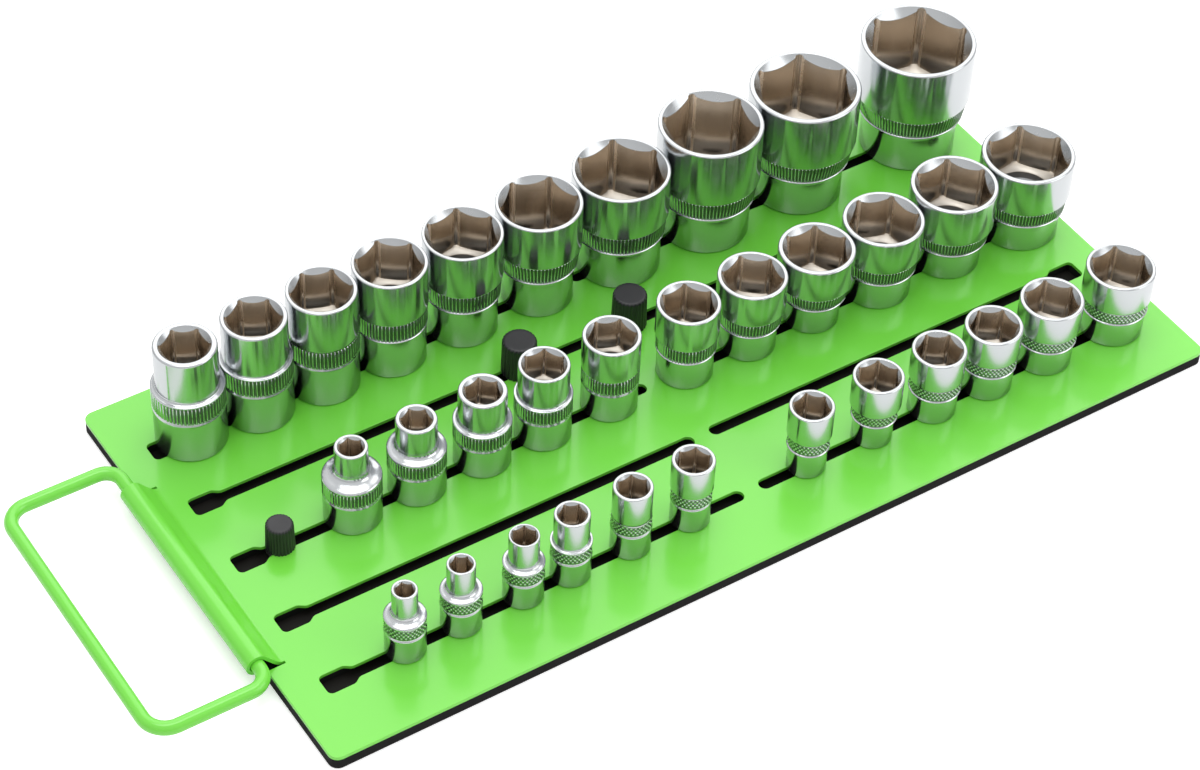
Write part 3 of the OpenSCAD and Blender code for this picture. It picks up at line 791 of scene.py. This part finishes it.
def turned_outside(outer, base, height, band_z, band_h, rim):
    """Profile of a socket's outside: below the knurled band, and above it"""

    def table(pairs, radius, z):
        return [(radius - inset, z + up) for inset, up in pairs]

    step = base - outer
    band_low = base if step > 0 else max(base, outer + step * 0.5)
    band_high = base if step > 0 else max(base, outer - BAND_INSET)
    below = table(FOOT, base, 0)
    if step > -PLAIN_STEP:
        below += table(STRAIGHT_COLLAR, base, band_z)
    else:
        # The neck curves out to a body that is wider than the drive end
        neck = min(NECK_MOST, -step * NECK_SHARE)
        below += bezier((base - SKIN, band_z - neck - 0.6), (base - SKIN, band_z - neck * 0.5),
                        (band_low - 0.5, band_z - neck * 0.35), (band_low - 0.35, band_z - 0.55), 6)
        below += table(FLARED_COLLAR, band_low, band_z)
    band_top = band_z + band_h
    if step > PLAIN_STEP:
        # The shoulder curves in to a body that is narrower than the band
        rise = step * SHOULDER_SHARE
        above = table(SHOULDER_START, band_high, band_top)
        above += bezier((band_high, band_top + 0.3), (band_high, band_top + 0.3 + rise * 0.55),
                        (outer, band_top + rise * 0.3), (outer, band_top + 0.3 + rise * 1.25), 12)
    else:
        above = table(PLAIN_START, band_high, band_top) + table(PLAIN_END, outer, band_top)
    above += arc((outer - rim, height - rim), rim, 0, 90, 5)
    return below, above, (band_low, band_high)


def knurl_depth(turns, height, crossed):
    """How far a point of the band lies under its crest, turns and height counted in teeth"""
    if not crossed:
        return FLUTE_DEPTH if turns % 1 > FLUTE_START else 0.0
    one = abs(((turns + height * TOOTH_SLANT) % 1) - 0.5) * 2
    two = abs(((turns - height * TOOTH_SLANT) % 1) - 0.5) * 2
    return TOOTH_DEPTH * (1 - min(one, two)) ** TOOTH_POWER


def add_band(build, centre, low, high, row):
    """The knurled band, with smooth chamfered ends: upright flutes, or two crossing sets of them"""
    band_h, pitch, crossed = row["band_h"], row["pitch"], row["crossed"]
    around = POINTS_PER_TOOTH * max(FEWEST_TEETH, round(2 * math.pi * max(low, high) / pitch))
    toothed, shade_depth = (CROSSED_ROWS, CROSSED_SHADE_DEPTH) if crossed else (UPRIGHT_ROWS, UPRIGHT_SHADE_DEPTH)
    rows = [(0.0, BAND_CHAMFER)]
    rows += [(BAND_CHAMFER + (band_h - 2 * BAND_CHAMFER) * i / (toothed - 1), 0.0) for i in range(toothed)]
    rows += [(band_h, BAND_CHAMFER)]
    rings = []
    for n, (z, inset) in enumerate(rows):
        ring = []
        for i in range(around):
            smooth = n in (0, len(rows) - 1)
            depth = 0.0 if smooth else knurl_depth(i / POINTS_PER_TOOTH, z / pitch, crossed)
            r = low + (high - low) * z / band_h - BAND_SKIN - inset - depth
            a = 2 * math.pi * i / around
            ring.append(build.verts.new((centre.x + r * MM * math.cos(a), centre.y + r * MM * math.sin(a),
                                         centre.z + (row["band_z"] + z) * MM)))
        rings.append(ring)
    for n, (a, b) in enumerate(zip(rings, rings[1:])):
        height = (rows[n][0] + rows[n + 1][0]) / 2 / pitch
        for i in range(around):
            j = (i + 1) % around
            face = build.faces.new((a[i], a[j], b[j], b[i]))
            middle = (i + 0.5) / POINTS_PER_TOOTH
            # Faces deep in the knurl take the darker chrome: painted shade in the valleys
            if 0 < n < len(rows) - 2 and knurl_depth(middle, height, crossed) > shade_depth:
                face.material_index = PAINTED_SHADE


def socket_mesh(name, centre, sizes, height, row, details):
    """A turned and broached socket"""
    outer, base, hex_share, depth_share, turn_share = sizes
    outer, base, turn = outer / 2, base / 2, 60 * turn_share
    width = row["drive"] * hex_share
    angles = socket_angles(turn)
    corner = width / math.sqrt(3)
    mouth = corner + details.lead * (outer - corner)
    passage = row["drive"] / 4
    rim = details.rim * (outer - corner)
    wall = [min(hexagon_radius(a, turn, width, details.relief), mouth - CORNER_GAP) for a in angles]
    build = bmesh.new()

    def ring(radius, z):
        verts = []
        for i, a in enumerate(angles):
            r = radius[i] if isinstance(radius, list) else radius
            h = z[i] if isinstance(z, list) else z
            verts.append(build.verts.new((centre.x + r * MM * math.cos(math.radians(a)),
                                          centre.y + r * MM * math.sin(math.radians(a)), centre.z + h * MM)))
        return verts

    below, above, band = turned_outside(outer, base, height, row["band_z"], row["band_h"], rim)
    join_rings(build, [ring(r, z) for r, z in below])
    add_band(build, centre, *band, row)
    # Over the rim, down the lead-in cone with its rounded ends, and onto the broached walls
    lead_z = [height - EASE - (mouth - r) for r in wall]
    rings = [ring(r, z) for r, z in above]
    kinds = [SIDE] * (len(above) - 3) + [MOUTH] * 2
    rings += [ring(mouth + MOUTH_LAND, height), ring(mouth + MOUTH_EDGE, height - MOUTH_EDGE),
              ring(mouth, height - EASE),
              ring([r + min(EASE, (mouth - r) / 2) for r in wall],
                   [z + min(EASE, (mouth - r) / 2) for r, z in zip(wall, lead_z)]),
              ring(wall, [z - LEAD_DROP for z in lead_z])]
    kinds += [MOUTH] * 5
    slope = details.floor_slope
    floor_z = height * (1 - depth_share)
    floor = [floor_z - (corner - r) * slope for r in wall]
    hole = min(max(passage + HOLE_FILLET, details.hole * corner), width / 2 - HOLE_WALL)
    hole_z = floor_z - (corner - hole) * slope
    sunk = hole_z - max(HOLE_LEAST, min(HOLE_MOST, hole_z - row["drive_depth"] - ROOF_MOST))
    roof = min(row["drive_depth"], sunk - ROOF_LEAST)
    # The floor: its rounded edge, its cone, the hole's rounded edge, its wall and step, and the passage. The
    # hole's wall, its step and the passage take the darker chrome, a painted shade in the hole.
    rings += [ring([r - inset for r in wall], [z + up for z in floor]) for inset, up in FLOOR_EDGE]
    rings += [ring(r, z) for r, z in (
        (hole + HOLE_EDGE, hole_z + HOLE_EDGE * slope), (hole, hole_z - HOLE_EDGE),
        (hole, sunk + HOLE_FILLET), (hole - HOLE_FILLET, sunk), (passage, sunk),
        (passage - PASSAGE_LIP, sunk - HOLE_FILLET), (passage - PASSAGE_LIP, roof))]
    kinds += [BORE] * 2 + [FLOOR] * 3 + [PAINTED_SHADE] * 5
    join_rings(build, rings, kinds)
    # The drive hole, seen when the socket is lifted: a square with softened corners
    half = row["drive"] / 2 + DRIVE_GAP
    square = [min(half / max(abs(math.cos(math.radians(a - turn))), abs(math.sin(math.radians(a - turn)))),
                  half * DRIVE_ROUNDING) for a in angles]
    under = [ring(base - FOOT[0][0], 0.0), ring([r + DRIVE_CHAMFER for r in square], 0.0),
             ring(square, DRIVE_CHAMFER), ring(square, roof - DRIVE_CONE),
             ring(passage - PASSAGE_LIP, roof)]
    join_rings(build, [list(reversed(r)) for r in under], [SIDE, MOUTH, BORE, BORE])
    # Painted highlight: one side of each corner's groove takes the paler bore finish, in place of the light
    # it would catch
    for face in build.faces:
        middle = face.calc_center_median() - centre
        off = from_corner(math.degrees(math.atan2(middle.y, middle.x)), turn)
        if (face.material_index == BORE and middle.z > roof * MM
                and HIGHLIGHT_ANGLES[0] < off < HIGHLIGHT_ANGLES[1]):
            face.material_index = PAINTED_HIGHLIGHT
    bmesh.ops.remove_doubles(build, verts=build.verts, dist=WELD_FINE)
    mesh = bpy.data.meshes.new(name)
    build.to_mesh(mesh)
    build.free()
    return mesh


class SocketRow:
    """Builds one row of sockets; each operator below names its row"""

    row = ""

    def execute(self, context):
        details = context.scene.tray_socket
        for number, sizes in enumerate(SOCKETS[self.row], 1):
            node = f"{self.row}_socket_{number}"
            low, high = (Vector(corner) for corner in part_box(node))
            centre = Vector(((low.x + high.x) / 2, (low.y + high.y) / 2, low.z))
            mesh = socket_mesh(node, centre, sizes, (high.z - low.z) / MM, ROWS[self.row], details)
            make_piece("turned_" + node, mesh, node + "_body", SOCKET_FINISHES, node, slot="chrome", sharp=48)
        return {"FINISHED"}


class TRAY_OT_half_sockets(SocketRow, bpy.types.Operator):
    """Builds the half-inch drive sockets"""

    bl_idname = "tray.half_sockets"
    bl_label = "Half-inch sockets"
    row = "half"


class TRAY_OT_three_eighth_sockets(SocketRow, bpy.types.Operator):
    """Builds the three-eighth drive sockets"""

    bl_idname = "tray.three_eighth_sockets"
    bl_label = "Three-eighth sockets"
    row = "three_eighth"


class TRAY_OT_quarter_sockets(SocketRow, bpy.types.Operator):
    """Builds the quarter-inch drive sockets"""

    bl_idname = "tray.quarter_sockets"
    bl_label = "Quarter-inch sockets"
    row = "quarter"


# The studio

# Softboxes, in metres: where they hang and how large they are. The back one hangs where the
# plate mirrors it to the camera.
BACK_DISTANCE, BACK_SIZE = 1.25, (1.3, 1.1)
TOP_PLACE, TOP_SIZE = (0.0, 0.05, 1.3), (1.0, 0.6)
SIDE_PLACE, SIDE_SIZE = (0.85, -0.85, 0.75), (0.9, 0.8)
# Half the floor's width, and its gap under the tray
FLOOR_REACH = 4
FLOOR_GAP = 0.2 * MM
# Height on the unit sky where the grey of the horizon has turned to white
WHITE_FROM = 0.6
SENSOR = 36
NEAREST = 0.01


def add_light(name, place, size, brightness):
    """A soft rectangular light that looks at the tray, as bright all over as said"""
    lamp = bpy.data.lights.new(name, "AREA")
    lamp.shape = "RECTANGLE"
    lamp.size, lamp.size_y = size
    lamp.energy = brightness * math.pi * size[0] * size[1]
    holder = bpy.data.objects.new(name, lamp)
    holder.location = place
    holder.rotation_euler = (-Vector(place)).to_track_quat("-Z", "Y").to_euler()
    bpy.context.scene.collection.objects.link(holder)


class TRAY_OT_stage(bpy.types.Operator):
    """Sets up the camera, the pale floor and the soft light"""

    bl_idname = "tray.stage"
    bl_label = "Studio"

    def execute(self, context):
        stage = context.scene.tray_stage
        back = self.add_camera(context, stage)
        self.add_floor(context, stage)
        self.add_sky(context, stage)
        mirrored = Vector((-back.x, -back.y, back.z))
        add_light("back_softbox", mirrored * BACK_DISTANCE, BACK_SIZE, stage.back_box)
        add_light("top_softbox", TOP_PLACE, TOP_SIZE, stage.top_box)
        add_light("side_softbox", SIDE_PLACE, SIDE_SIZE, stage.side_box)
        context.scene.view_settings.view_transform = "Standard"
        return {"FINISHED"}

    def add_camera(self, context, stage):
        """The camera; gives back the direction from the tray to it"""
        lens = bpy.data.cameras.new("studio_camera")
        lens.sensor_fit = "HORIZONTAL"
        lens.sensor_width = SENSOR
        lens.lens = stage.lens
        lens.clip_start = NEAREST
        camera = bpy.data.objects.new("studio_camera", lens)
        context.scene.collection.objects.link(camera)
        context.scene.camera = camera
        az, el, roll = stage.azimuth, stage.elevation, stage.roll
        back = Vector((math.cos(el) * math.sin(az), -math.cos(el) * math.cos(az), math.sin(el)))
        right = (-back).cross(Vector((0, 0, 1))).normalized()
        up = right.cross(-back)
        right, up = math.cos(roll) * right + math.sin(roll) * up, math.cos(roll) * up - math.sin(roll) * right
        place = Matrix((right, up, back)).transposed().to_4x4()
        place.translation = Vector(stage.place)
        camera.matrix_world = place
        return back

    def add_floor(self, context, stage):
        """The pale floor. It glows for the camera alone, so that the chrome doesn't mirror the glow"""
        build = bmesh.new()
        bmesh.ops.create_grid(build, x_segments=2, y_segments=2, size=FLOOR_REACH)
        mesh = bpy.data.meshes.new("studio_floor")
        build.to_mesh(mesh)
        build.free()
        floor = bpy.data.objects.new("studio_floor", mesh)
        floor.location.z = cad_bounds[0][2] - FLOOR_GAP
        context.scene.collection.objects.link(floor)
        white = finishes()["floor_white"]
        mesh.materials.append(white)
        nodes, links = white.node_tree.nodes, white.node_tree.links
        shader = nodes["Principled BSDF"]
        shader.inputs["Emission Strength"].default_value = stage.floor_glow
        ray = nodes.new("ShaderNodeLightPath")
        glow = nodes.new("ShaderNodeMix")
        glow.data_type = "RGBA"
        glow.inputs[COLOUR_A].default_value = (0, 0, 0, 1)
        glow.inputs[COLOUR_B].default_value = (1, 1, 1, 1)
        links.new(ray.outputs["Is Camera Ray"], glow.inputs["Factor"])
        links.new(glow.outputs[COLOUR_OUT], shader.inputs["Emission Color"])

    def add_sky(self, context, stage):
        """White overhead and greyer towards the horizon, which the camera sees as white"""
        world = bpy.data.worlds.new("studio_white")
        world.use_nodes = True
        nodes, links = world.node_tree.nodes, world.node_tree.links
        direction = nodes.new("ShaderNodeTexCoord")
        split = nodes.new("ShaderNodeSeparateXYZ")
        links.new(direction.outputs["Generated"], split.inputs["Vector"])
        height = nodes.new("ShaderNodeMapRange")
        height.inputs["From Max"].default_value = WHITE_FROM
        height.inputs["To Min"].default_value = stage.horizon
        height.inputs["To Max"].default_value = stage.sky
        links.new(split.outputs["Z"], height.inputs["Value"])
        ray = nodes.new("ShaderNodeLightPath")
        seen = nodes.new("ShaderNodeMix")
        links.new(ray.outputs["Is Camera Ray"], seen.inputs["Factor"])
        links.new(height.outputs["Result"], seen.inputs[VALUE_A])
        seen.inputs[VALUE_B].default_value = 1
        sky = nodes["Background"]
        sky.inputs["Color"].default_value = (1, 1, 1, 1)
        links.new(seen.outputs[VALUE_OUT], sky.inputs["Strength"])
        context.scene.world = world


class TRAY_PT_panel(bpy.types.Panel):
    """Lists the tray's pieces"""

    bl_idname = "TRAY_PT_panel"
    bl_label = "Socket tray"
    bl_space_type = "VIEW_3D"
    bl_region_type = "UI"
    bl_category = "Tray"

    def draw(self, context):
        for group in SETTINGS:
            settings = getattr(context.scene, group)
            box = self.layout.box()
            for prop in settings.bl_rna.properties.keys():
                if prop not in {"rna_type", "name"}:
                    box.prop(settings, prop)
        for step in STEPS:
            self.layout.operator("tray." + step)


SETTINGS = {
    "tray_sheet": SheetSettings, "tray_wire": WireSettings, "tray_socket": SocketSettings,
    "tray_post": PostSettings, "tray_colours": ColourSettings, "tray_stage": StageSettings,
}
STEPS = ("plate", "handle", "posts", "half_sockets", "three_eighth_sockets", "quarter_sockets", "stage")
CLASSES = (
    *SETTINGS.values(), TRAY_OT_plate, TRAY_OT_handle, TRAY_OT_posts, TRAY_OT_half_sockets,
    TRAY_OT_three_eighth_sockets, TRAY_OT_quarter_sockets, TRAY_OT_stage, TRAY_PT_panel,
)


def register():
    for cls in CLASSES:
        bpy.utils.register_class(cls)
    for group, cls in SETTINGS.items():
        setattr(bpy.types.Scene, group, PointerProperty(type=cls))


def unregister():
    for group in SETTINGS:
        delattr(bpy.types.Scene, group)
    for cls in reversed(CLASSES):
        bpy.utils.unregister_class(cls)


def main():
    register()
    for step in STEPS:
        getattr(bpy.ops.tray, step)()


if __name__ == "__main__":
    main()
